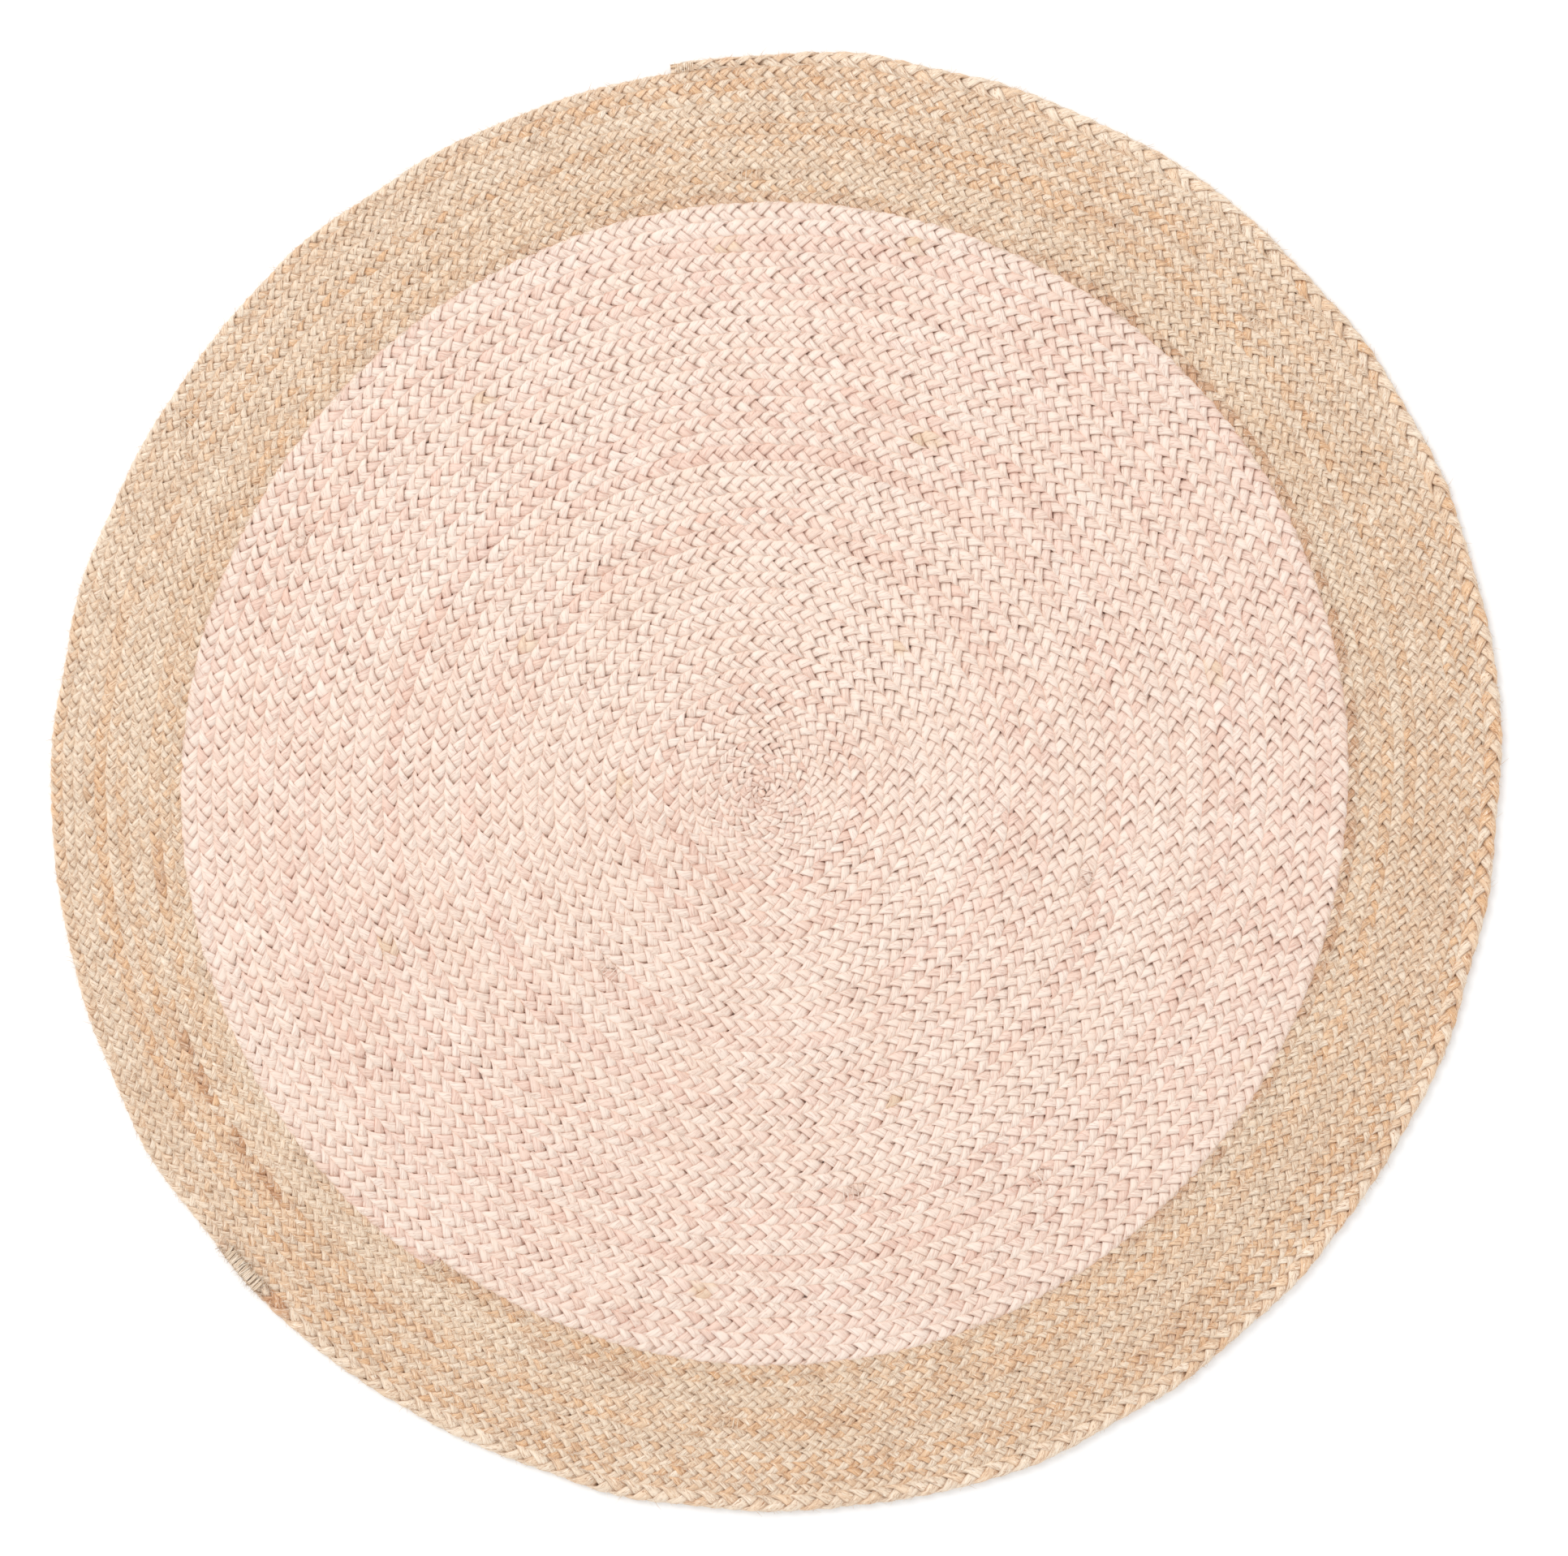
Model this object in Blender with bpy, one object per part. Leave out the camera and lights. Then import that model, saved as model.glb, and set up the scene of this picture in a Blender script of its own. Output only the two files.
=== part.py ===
"""A round floor rug of plaited jute, in metres, lying flat on Z = 0 with its middle at the origin.

A flat three-strand plait is coiled anticlockwise, seen from above, and each turn is sewn to the one inside it
with thread that runs in the seam between them.
The coil starts with a fine plait round a small stitched eye. Dyed plait makes the field, undyed plait makes the
border, and a stouter plait makes the last part of the outermost turn, where it runs out in a bound, tapered tail.
The plait comes in lengths, which meet end to end under a binding.

Every piece is a stretch of one coil. The coil is a row of stations at even angles, each with an inner and an outer
edge, so the edges of neighbouring turns run parallel and never touch.
"""
import bisect
import math

import bpy
from mathutils import Vector

# The two overall sizes: the dyed field across, and the width of the border round it.
FIELD_DIAMETER = 0.9640
BORDER_WIDTH = 0.1192

# The flat plaits: how wide each lies and how thick it is.
START_PLAIT_WIDTH = 0.0066
START_PLAIT_THICKNESS = 0.0060
FIELD_PLAIT_WIDTH = 0.0117
FIELD_PLAIT_THICKNESS = 0.0080
BORDER_PLAIT_WIDTH = 0.0078
BORDER_PLAIT_THICKNESS = 0.0070
EDGE_PLAIT_WIDTH = 0.0110
EDGE_PLAIT_THICKNESS = 0.0080

# The start of the coil, its stitched eye, and its tail.
EYE_RADIUS = 0.0024
START_TIP_WIDTH = 0.0024
START_ZONE_RADIUS = 0.0800
TAIL_TIP_WIDTH = 0.0052
TAIL_TAPER_LENGTH = 0.2000

# The gap between pieces that touch, and the sewing thread, whose seam keeps the turns apart by its own width.
CLEARANCE = 0.0003
THREAD_WIDTH = 0.0008
THREAD_HEIGHT = 0.0016
SEAM_WIDTH = THREAD_WIDTH + 2 * CLEARANCE

# The bindings over the joins, and how fast a plait narrows into one.
BINDING_LENGTH = 0.0240
BINDING_THICKNESS = 0.0010
NECK_TAPER = 0.0040
TAIL_BINDING_LENGTH = 0.0180
TAIL_BINDING_TO_END = 0.0060

# The lengths of plait that each part of the coil is made of.
FIELD_PLAITS = 6
BORDER_PLAITS = 5
EDGE_PLAIT_TURN = 0.652

# Where the dyed plait ends, as an angle from +X.
FIELD_END_ANGLE = math.radians(235.0)

# The coil's own unevenness: where its eye sits, and how far its rim is out of round, with the direction of a high spot.
EYE_OFFSET = Vector((-0.0105, -0.0085))
RIM_WAVES = (
    (2, 0.0037, math.radians(54.0)),
    (3, 0.0020, math.radians(45.0)),
    (4, 0.0009, math.radians(16.0)),
)

# How finely the coil is drawn. Near the eye every second station is enough.
STATIONS_PER_TURN = 32
COARSE_RADIUS = 0.1500
STEP = 2 * math.pi / STATIONS_PER_TURN

RUG_RADIUS = FIELD_DIAMETER / 2 + BORDER_WIDTH

BLUSH = (0.887, 0.694, 0.578)
NATURAL = (0.831, 0.610, 0.440)
EDGE_NATURAL = (0.855, 0.610, 0.402)
STRAW = (0.700, 0.560, 0.380)
THREAD = (0.800, 0.640, 0.500)


def blend(low, high, share):
    """The value a share of the way from low to high, with the share kept between 0 and 1."""
    return low + (high - low) * min(max(share, 0.0), 1.0)


class Coil:
    """The edges of the coiled plait at each station, and the distance along the plait to it."""

    def __init__(self):
        self.inner, self.outer, self.thickness = [], [], []
        self.march_field()
        self.march_border()
        self.march_edge()
        self.place_stations()

    def next_inner_radius(self):
        """Each turn lies just outside the turn before it, and the first one winds out from the eye."""
        station = len(self.inner)
        if station < STATIONS_PER_TURN:
            return EYE_RADIUS + (START_TIP_WIDTH + SEAM_WIDTH) * station / STATIONS_PER_TURN
        return self.outer[station - STATIONS_PER_TURN] + SEAM_WIDTH

    def add_station(self, radius, width, thickness):
        self.inner.append(radius)
        self.outer.append(radius + width)
        self.thickness.append(thickness)

    def march_field(self):
        """Fine plait thickens to full width over the start zone, up to the field's mean radius."""
        while not self.outer or self.outer[-1] < FIELD_DIAMETER / 2 + (FIELD_PLAIT_WIDTH + SEAM_WIDTH) / 2:
            radius = self.next_inner_radius()
            share = radius / START_ZONE_RADIUS
            width = blend(START_PLAIT_WIDTH, FIELD_PLAIT_WIDTH, share)
            first_turn = (len(self.inner) + 1) / STATIONS_PER_TURN
            width = blend(START_TIP_WIDTH, width, first_turn)
            self.add_station(radius, width, blend(START_PLAIT_THICKNESS, FIELD_PLAIT_THICKNESS, share))
        self.field_end = len(self.inner) - 0.5

    def march_border(self):
        """Border plait, until the edge plait that follows brings the mean rim to the rug's radius."""
        mean_last_width = blend(BORDER_PLAIT_WIDTH, EDGE_PLAIT_WIDTH, EDGE_PLAIT_TURN)
        while self.next_inner_radius() < RUG_RADIUS - mean_last_width:
            self.add_station(self.next_inner_radius(), BORDER_PLAIT_WIDTH, BORDER_PLAIT_THICKNESS)
        self.border_end = len(self.inner) - 0.5

    def march_edge(self):
        """Edge plait, which tapers on its outer side to the tail's tip."""
        self.tail_end = self.border_end + EDGE_PLAIT_TURN * STATIONS_PER_TURN
        while len(self.inner) <= self.tail_end + 1:
            radius = self.next_inner_radius()
            left = (self.tail_end - len(self.inner)) * STEP * radius
            width = blend(TAIL_TIP_WIDTH, EDGE_PLAIT_WIDTH, left / TAIL_TAPER_LENGTH)
            self.add_station(radius, width, EDGE_PLAIT_THICKNESS)

    def lay(self, radius, angle):
        """A point of the even coil, moved to where the uneven rug has it."""
        share = (radius / RUG_RADIUS) ** 2
        out = radius + share * sum(size * math.cos(waves * (angle - high)) for waves, size, high in RIM_WAVES)
        return Vector((out * math.cos(angle), out * math.sin(angle))) + EYE_OFFSET * (1 - share)

    def place_stations(self):
        """Lays the kept stations out, centres the rim on the origin and measures along the plait."""
        def kept(k):
            return k % 2 == 0 or self.inner[k - k % 2] > COARSE_RADIUS

        self.numbers = [k for k in range(len(self.inner)) if kept(k)]
        angles = [FIELD_END_ANGLE + (k - self.field_end) * STEP for k in self.numbers]
        self.inner_points = [self.lay(self.inner[k], a) for k, a in zip(self.numbers, angles)]
        self.outer_points = [self.lay(self.outer[k], a) for k, a in zip(self.numbers, angles)]
        last_turn = self.outer_points[-2 * STATIONS_PER_TURN:]
        middle = Vector([(min(p[i] for p in last_turn) + max(p[i] for p in last_turn)) / 2 for i in (0, 1)])
        self.inner_points = [p - middle for p in self.inner_points]
        self.outer_points = [p - middle for p in self.outer_points]
        self.eye = EYE_OFFSET - middle
        self.distances = [0.0]
        for i in range(1, len(self.numbers)):
            here = self.inner_points[i] + self.outer_points[i]
            before = self.inner_points[i - 1] + self.outer_points[i - 1]
            self.distances.append(self.distances[-1] + (here - before).length / 2)

    def distance_at(self, station):
        """The distance along the plait to a station number, whole or not."""
        i = bisect.bisect_right(self.numbers, station) - 1
        share = (station - self.numbers[i]) / (self.numbers[i + 1] - self.numbers[i])
        return blend(self.distances[i], self.distances[i + 1], share)

    def section(self, distance):
        """The inner and outer edge points and the thickness at a distance along the plait."""
        i = min(max(bisect.bisect_right(self.distances, distance) - 1, 0), len(self.distances) - 2)
        share = (distance - self.distances[i]) / (self.distances[i + 1] - self.distances[i])
        inner = self.inner_points[i].lerp(self.inner_points[i + 1], share)
        outer = self.outer_points[i].lerp(self.outer_points[i + 1], share)
        low, high = (self.thickness[self.numbers[j]] for j in (i, i + 1))
        return inner, outer, blend(low, high, share)

    def corners(self, distance, inset):
        """The four corners of the plait's section, moved in from its outline by an inset."""
        inner, outer, thickness = self.section(distance)
        across = (outer - inner).normalized() * inset
        near, far = inner + across, outer - across
        top = thickness - inset
        return [(*near, inset), (*far, inset), (*far, top), (*near, top)]

    def thread_corners(self, distance):
        """The three corners of the sewing thread, which lies just inside the plait at half its thickness."""
        inner, outer, thickness = self.section(distance)
        across = (outer - inner).normalized()
        near, far = inner - across * (CLEARANCE + THREAD_WIDTH), inner - across * CLEARANCE
        middle = thickness / 2
        return [(*near, middle), (*far, middle - THREAD_HEIGHT / 2), (*far, middle + THREAD_HEIGHT / 2)]

    def between(self, start, end, extra=()):
        """Distances from start to end: both ends, the stations between them and any extra ones."""
        inside = [d for d in (*self.distances, *extra) if start + CLEARANCE / 2 < d < end - CLEARANCE / 2]
        return sorted({start, end, *inside})


class Binding:
    """Thread or straw wound round the plait, over a join or near the tail's tip."""

    def __init__(self, name, middle, length, colour):
        self.name, self.middle, self.length, self.colour = name, middle, length, colour

    @property
    def shoulders(self):
        """The distances where the plait's neck begins and ends, on both sides."""
        flat = self.length / 2 + CLEARANCE
        return [self.middle + side * reach for side in (-1, 1) for reach in (flat, flat + NECK_TAPER)]

    def neck(self, distance):
        """How far the plait is drawn in at a distance along it."""
        past = abs(distance - self.middle) - self.length / 2 - CLEARANCE
        return (BINDING_THICKNESS + CLEARANCE) * blend(1.0, 0.0, past / NECK_TAPER)


def add_object(name, points, faces, colour):
    """A closed mesh as a named object with its own matt fibre material."""
    mesh = bpy.data.meshes.new(name)
    mesh.from_pydata(points, [], faces)
    mesh.shade_smooth()
    mesh.set_sharp_from_angle(angle=math.radians(30))
    material = bpy.data.materials.new(name)
    material.use_nodes = True
    shader = material.node_tree.nodes["Principled BSDF"]
    shader.inputs["Base Color"].default_value = (*colour, 1.0)
    shader.inputs["Roughness"].default_value = 0.8
    shader.inputs["Metallic"].default_value = 0.0
    mesh.materials.append(material)
    item = bpy.data.objects.new(name, mesh)
    bpy.context.scene.collection.objects.link(item)
    return item


def ring_faces(first, second, sides):
    """Faces that join one closed ring of points to the next, given where each ring starts."""
    return [
        (first + i, second + i, second + (i + 1) % sides, first + (i + 1) % sides)
        for i in range(sides)
    ]


def add_plait(name, coil, start, end, bindings, colour):
    """One length of plait, drawn in where a binding goes round it."""
    shoulders = [d for binding in bindings for d in binding.shoulders]
    points, faces = [], []
    stations = coil.between(start, end, shoulders)
    for distance in stations:
        inset = max(binding.neck(distance) for binding in bindings)
        points += coil.corners(distance, inset)
    for i in range(len(stations) - 1):
        faces += ring_faces(4 * i, 4 * i + 4, 4)
    last = 4 * (len(stations) - 1)
    faces += [(0, 1, 2, 3), (last + 3, last + 2, last + 1, last)]
    return add_object(name, points, faces, colour)


def add_thread(name, coil, start, end):
    """The sewing thread in the seam between each turn and the one inside it."""
    stations = coil.between(start, end)
    points = [corner for distance in stations for corner in coil.thread_corners(distance)]
    faces = []
    for i in range(len(stations) - 1):
        faces += ring_faces(3 * i, 3 * i + 3, 3)
    last = 3 * (len(stations) - 1)
    faces += [(0, 1, 2), (last + 2, last + 1, last)]
    return add_object(name, points, faces, THREAD)


def add_binding(coil, binding):
    """A sleeve round the plait's neck, whose outside is flush with the plait."""
    start, end = binding.middle - binding.length / 2, binding.middle + binding.length / 2
    points, faces = [], []
    stations = coil.between(start, end)
    for distance in stations:
        points += coil.corners(distance, 0.0)
        points += coil.corners(distance, BINDING_THICKNESS)
    for i in range(len(stations) - 1):
        outside, inside = 8 * i, 8 * i + 4
        faces += ring_faces(outside, outside + 8, 4)
        faces += [face[::-1] for face in ring_faces(inside, inside + 8, 4)]
    last = 8 * (len(stations) - 1)
    faces += ring_faces(4, 0, 4)
    faces += ring_faces(last, last + 4, 4)
    return add_object(binding.name, points, faces, binding.colour)


def add_eye_stitch(coil):
    """The knot of sewing thread that closes the eye of the coil."""
    sides = 12
    radius = EYE_RADIUS - CLEARANCE - CLEARANCE / 3
    turn = [2 * math.pi * i / sides for i in range(sides)]
    rim = [(coil.eye.x + radius * math.cos(a), coil.eye.y + radius * math.sin(a)) for a in turn]
    points = [(*p, 0.0) for p in rim] + [(*p, START_PLAIT_THICKNESS) for p in rim]
    faces = [tuple(reversed(range(sides))), tuple(range(sides, 2 * sides))]
    faces += [(i, (i + 1) % sides, sides + (i + 1) % sides, sides + i) for i in range(sides)]
    return add_object("eye_stitch", points, faces, THREAD)


def face_outwards(item):
    """Turns a closed mesh's faces over if it encloses a negative volume."""
    mesh = item.data
    mesh.calc_loop_triangles()
    volume = 0.0
    for triangle in mesh.loop_triangles:
        a, b, c = (mesh.vertices[i].co for i in triangle.vertices)
        volume += a.dot(b.cross(c))
    if volume < 0:
        mesh.flip_normals()


def cut_into_lengths(name, start, end, count):
    """Names and ends of equal lengths of plait along a stretch of the coil."""
    ends = [start + (end - start) * i / count for i in range(count + 1)]
    return [(f"{name}_{i + 1}", ends[i], ends[i + 1]) for i in range(count)]


def build():
    """Models the rug: every length of plait, every binding and the eye's stitch."""
    for item in list(bpy.data.objects):
        bpy.data.objects.remove(item, do_unlink=True)
    coil = Coil()
    field_end, border_end, tail_end = (
        coil.distance_at(station) for station in (coil.field_end, coil.border_end, coil.tail_end)
    )
    field = cut_into_lengths("field_plait", 0.0, field_end, FIELD_PLAITS)
    border = cut_into_lengths("border_plait", field_end, border_end, BORDER_PLAITS)
    edge = [("edge_plait", border_end, tail_end)]

    bindings = [
        Binding(f"field_binding_{i + 1}", end, BINDING_LENGTH, BLUSH)
        for i, (_, _, end) in enumerate(field[:-1])
    ]
    bindings.append(Binding("field_border_binding", field_end, BINDING_LENGTH, NATURAL))
    bindings += [
        Binding(f"border_binding_{i + 1}", end, BINDING_LENGTH, NATURAL)
        for i, (_, _, end) in enumerate(border[:-1])
    ]
    bindings.append(Binding("edge_binding", border_end, BINDING_LENGTH, STRAW))
    tail_binding_middle = tail_end - TAIL_BINDING_TO_END - TAIL_BINDING_LENGTH / 2
    bindings.append(Binding("tail_binding", tail_binding_middle, TAIL_BINDING_LENGTH, THREAD))

    items = []
    for lengths, colour in ((field, BLUSH), (border, NATURAL), (edge, EDGE_NATURAL)):
        for name, start, end in lengths:
            first = start if start == 0.0 else start + CLEARANCE / 2
            last = end if end == tail_end else end - CLEARANCE / 2
            items.append(add_plait(name, coil, first, last, bindings, colour))
    items += [add_binding(coil, binding) for binding in bindings]
    second_turn = coil.distance_at(STATIONS_PER_TURN)
    items.append(add_thread("field_thread", coil, second_turn, field_end - CLEARANCE / 2))
    items.append(add_thread("border_thread", coil, field_end + CLEARANCE / 2, tail_end))
    items.append(add_eye_stitch(coil))
    for item in items:
        face_outwards(item)


build()
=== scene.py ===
"""Looks for a round rug of plaited jute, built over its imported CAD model, in metres.

The rug is one flat three-strand plait, coiled anticlockwise seen from above and sewn turn to turn. A
blush-dyed field lies inside an undyed border, and a stouter undyed plait ends the outermost turn. Each
length of plait is modelled strand by strand along the same coil that the CAD model follows. Its joins are
bound with thread or straw, and loose fibres lie over the grooves.
"""
import logging
import math
from dataclasses import dataclass, field, replace
from enum import Enum

import bpy
import numpy as np
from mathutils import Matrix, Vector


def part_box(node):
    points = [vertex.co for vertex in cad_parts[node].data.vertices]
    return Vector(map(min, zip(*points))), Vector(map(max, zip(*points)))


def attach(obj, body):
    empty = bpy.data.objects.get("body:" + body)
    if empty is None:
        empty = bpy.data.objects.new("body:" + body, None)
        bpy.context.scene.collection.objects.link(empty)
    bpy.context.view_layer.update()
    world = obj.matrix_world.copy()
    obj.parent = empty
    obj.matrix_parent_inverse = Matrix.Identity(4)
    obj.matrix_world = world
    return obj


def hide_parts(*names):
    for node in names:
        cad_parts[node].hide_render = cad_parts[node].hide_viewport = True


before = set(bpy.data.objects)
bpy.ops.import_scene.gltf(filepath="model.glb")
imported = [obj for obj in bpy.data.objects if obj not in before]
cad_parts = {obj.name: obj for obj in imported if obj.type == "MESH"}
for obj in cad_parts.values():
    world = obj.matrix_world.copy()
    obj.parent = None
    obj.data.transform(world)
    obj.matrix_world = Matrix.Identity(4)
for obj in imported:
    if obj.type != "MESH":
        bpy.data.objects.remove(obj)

LOG = logging.getLogger("rug")
TURN = 2.0 * math.pi
MM = 0.001


def linear(colour: str) -> tuple[float, float, float, float]:
    """Turn an sRGB hex colour into the linear colour that Blender's sockets take.

    Args:
        colour: Six hex digits, such as "efd7c6".

    Returns:
        Linear red, green, blue and an alpha of 1.
    """
    shares = [int(colour[i:i + 2], 16) / 255.0 for i in (0, 2, 4)]
    parts = [s / 12.92 if s <= 0.04045 else ((s + 0.055) / 1.055) ** 2.4 for s in shares]
    return parts[0], parts[1], parts[2], 1.0


def add_node(
    tree: bpy.types.NodeTree,
    kind: str,
    values: dict[str | int, object] | None = None,
    links: dict[str | int, bpy.types.NodeSocket] | None = None,
    **settings: object,
) -> bpy.types.Node:
    """Add a node with its settings, its socket values and the links into it.

    Args:
        tree: The node tree that takes the node.
        kind: The node's type, such as "ShaderNodeTexNoise".
        values: Values for input sockets, by name or number.
        links: Output sockets to join to input sockets, by name or number.
        **settings: Settings of the node itself.

    Returns:
        The new node.
    """
    made = tree.nodes.new(kind)
    for name, value in settings.items():
        setattr(made, name, value)
    for name, value in (values or {}).items():
        made.inputs[name].default_value = value
    for name, source in (links or {}).items():
        tree.links.new(source, made.inputs[name])
    return made


def add_ramp(
    tree: bpy.types.NodeTree, source: bpy.types.NodeSocket, stops: tuple[tuple[float, str], ...]
) -> bpy.types.Node:
    """Add a colour ramp with stops given as hex colours.

    Args:
        tree: The node tree that takes the ramp.
        source: The socket that drives it.
        stops: Each stop's position and sRGB hex colour, in order.

    Returns:
        The ramp node.
    """
    ramp = add_node(tree, "ShaderNodeValToRGB", links={"Fac": source})
    points = ramp.color_ramp.elements
    while len(points) < len(stops):
        points.new(1.0)
    for point, (position, colour) in zip(points, stops):
        point.position = position
        point.color = linear(colour)
    return ramp


def blank_material(name: str) -> tuple[bpy.types.Material, bpy.types.NodeTree, bpy.types.Node]:
    """Make a material that holds only a Principled shader and its output.

    Args:
        name: The material's name.

    Returns:
        The material, its node tree and its shader.
    """
    material = bpy.data.materials.new(name)
    material.use_nodes = True
    tree = material.node_tree
    return material, tree, tree.nodes["Principled BSDF"]


@dataclass(frozen=True)
class Grain:
    """Noise that is drawn out along a strand, as bundles of fibre lie."""

    run: float
    pitch: float
    detail: float
    roughness: float
    distortion: float
    angle: float = 0.0

    def add(self, tree: bpy.types.NodeTree) -> bpy.types.NodeSocket:
        """Add the noise, read over the strand map.

        Args:
            tree: The node tree that takes it.

        Returns:
            The socket that gives its value.
        """
        strand = add_node(tree, "ShaderNodeUVMap", uv_map="Strand")
        drawn = add_node(
            tree, "ShaderNodeMapping",
            {"Rotation": (0.0, 0.0, self.angle), "Scale": (1.0 / self.run, 1.0 / self.pitch, 1.0)},
            {"Vector": strand.outputs["UV"]},
        )
        noise = add_node(
            tree, "ShaderNodeTexNoise",
            {"Scale": 1.0, "Detail": self.detail, "Roughness": self.roughness, "Distortion": self.distortion},
            {"Vector": drawn.outputs["Vector"]},
        )
        return noise.outputs["Fac"]


@dataclass(frozen=True)
class PlaitedJute:
    """Jute, retted and combed, laid loose and untwisted into the strands of a plait.

    Combed jute has a soft silky sheen along the fibres, with streaks of lighter and darker fibre that run
    the length of each strand. Its tone shifts from strand to strand, since each bundle comes from other stems.
    """

    name: str
    tones: tuple[tuple[float, str], ...]
    bare: str
    tint: str
    tint_share: float
    roughness: float
    sheen_tint: str
    # The colour multiplied in as painted shade beside each strand and in the creases between bundles, and for
    # the dark lines of broken fibre. The next field sets how dark the creases' painted shade is.
    crease: str
    crease_shade_share: float = 0.4
    crease_width: float = 0.024
    crease_depth: float = 0.35
    # Painted shade towards each strand's sides: how sharply it falls off, and how dark it gets.
    side_shade_falloff: float = 4.0
    side_shade_share: float = 0.65
    fuzz_share: float = 0.12
    # Where the noise of broken fibre starts to show and where it shows fully, as dark and as light lines.
    fuzz_dark: tuple[float, float] = (0.56, 0.66)
    fuzz_light: tuple[float, float] = (0.44, 0.34)
    relief: float = 0.8
    relief_height: float = 0.5 * MM
    streak_share: float = 0.48
    drift: float = 0.11
    drift_share: float = 0.35
    darkest_level: float = 0.38
    # How much duller the lightest streaks are than the darkest, and how far those are below the roughness.
    dull_spread: float = 0.25
    dull_below: float = 0.12
    # Single fibres are 0.05 mm thick, too fine to show, so bundles of them are drawn.
    bundles: Grain = Grain(13.0 * MM, 0.8 * MM, detail=4.0, roughness=0.62, distortion=0.25)
    partings: Grain = Grain(20.0 * MM, 1.7 * MM, detail=2.0, roughness=0.5, distortion=0.6)
    # Broken fibres lie across the strand as short thin lines.
    fuzz: Grain = Grain(
        5.0 * MM, 0.7 * MM, detail=3.0, roughness=0.6, distortion=1.2, angle=math.radians(50.0),
    )

    def material(self) -> bpy.types.Material:
        """Build the node material.

        Returns:
            The finished material. It reads its piece's strand map and tone, tint, bare and side attributes.
        """
        material, tree, shader = blank_material(self.name)
        streaks, fuzz = self.bundles.add(tree), self.fuzz.add(tree)
        crease = self._creases(tree)
        jute = self._fibre_colour(tree, streaks)
        frayed = self._fuzzy_colour(tree, fuzz, jute)
        lined = self._painted_shade_colour(tree, crease, frayed)
        tree.links.new(lined, shader.inputs["Base Color"])
        dull = add_node(
            tree, "ShaderNodeMath", {1: self.dull_spread, 2: self.roughness - self.dull_below}, {0: streaks},
            operation="MULTIPLY_ADD",
        )
        tree.links.new(dull.outputs["Value"], shader.inputs["Roughness"])
        creased = add_node(
            tree, "ShaderNodeMath", {1: -self.crease_depth}, {0: crease, 2: streaks},
            operation="MULTIPLY_ADD",
        )
        height = add_node(
            tree, "ShaderNodeMath", {1: self.fuzz_share}, {0: fuzz, 2: creased.outputs["Value"]},
            operation="MULTIPLY_ADD",
        )
        bump = add_node(
            tree, "ShaderNodeBump", {"Strength": self.relief, "Distance": self.relief_height},
            {"Height": height.outputs["Value"]},
        )
        tree.links.new(bump.outputs["Normal"], shader.inputs["Normal"])
        shader.inputs["IOR"].default_value = 1.5
        shader.inputs["Sheen Weight"].default_value = 0.15
        shader.inputs["Sheen Roughness"].default_value = 0.4
        shader.inputs["Sheen Tint"].default_value = linear(self.sheen_tint)
        return material

    def _creases(self, tree: bpy.types.NodeTree) -> bpy.types.NodeSocket:
        """The creases between the bundles, as thin lines where a noise crosses its middle value. The bump sinks
        them, and the colour paints shade in them.
        """
        noise, middle = self.partings.add(tree), 0.5
        off = add_node(tree, "ShaderNodeMath", {1: middle}, {0: noise}, operation="SUBTRACT")
        away = add_node(tree, "ShaderNodeMath", links={0: off.outputs["Value"]}, operation="ABSOLUTE")
        crease = add_node(
            tree, "ShaderNodeMapRange", {1: 0.0, 2: self.crease_width, 3: 1.0, 4: 0.0},
            {0: away.outputs["Value"]},
        )
        return crease.outputs["Result"]

    def _fibre_colour(self, tree: bpy.types.NodeTree, streaks: bpy.types.NodeSocket) -> bpy.types.NodeSocket:
        """The fibre's own colour: streaks, drift over the rug, the dye's tint and undyed patches."""
        place = add_node(tree, "ShaderNodeTexCoord")
        drift = add_node(
            tree, "ShaderNodeTexNoise", {"Scale": 1.0 / self.drift, "Detail": 2.0, "Roughness": 0.5},
            {"Vector": place.outputs["Object"]},
        )
        tone, tint, bare = (
            add_node(tree, "ShaderNodeAttribute", attribute_name=mark).outputs["Fac"]
            for mark in ("tone", "tint", "bare")
        )
        streaked = add_node(
            tree, "ShaderNodeMath", {1: self.streak_share}, {0: streaks, 2: tone}, operation="MULTIPLY_ADD",
        )
        level = add_node(
            tree, "ShaderNodeMath", {1: self.drift_share},
            {0: drift.outputs["Fac"], 2: streaked.outputs["Value"]}, operation="MULTIPLY_ADD",
        )
        lifted = add_node(
            tree, "ShaderNodeMath", {1: self.darkest_level}, {0: level.outputs["Value"]},
            operation="SUBTRACT", use_clamp=True,
        )
        body = add_ramp(tree, lifted.outputs["Value"], self.tones)
        share = add_node(
            tree, "ShaderNodeMath", {1: self.tint_share}, {0: tint}, operation="MULTIPLY", use_clamp=True,
        )
        tinted = add_node(
            tree, "ShaderNodeMix", {7: linear(self.tint)},
            {0: share.outputs["Value"], 6: body.outputs["Color"]}, data_type="RGBA", blend_type="MULTIPLY",
        )
        undyed = add_node(
            tree, "ShaderNodeMix", {7: linear(self.bare)}, {0: bare, 6: tinted.outputs[2]}, data_type="RGBA",
        )
        return undyed.outputs[2]

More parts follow.
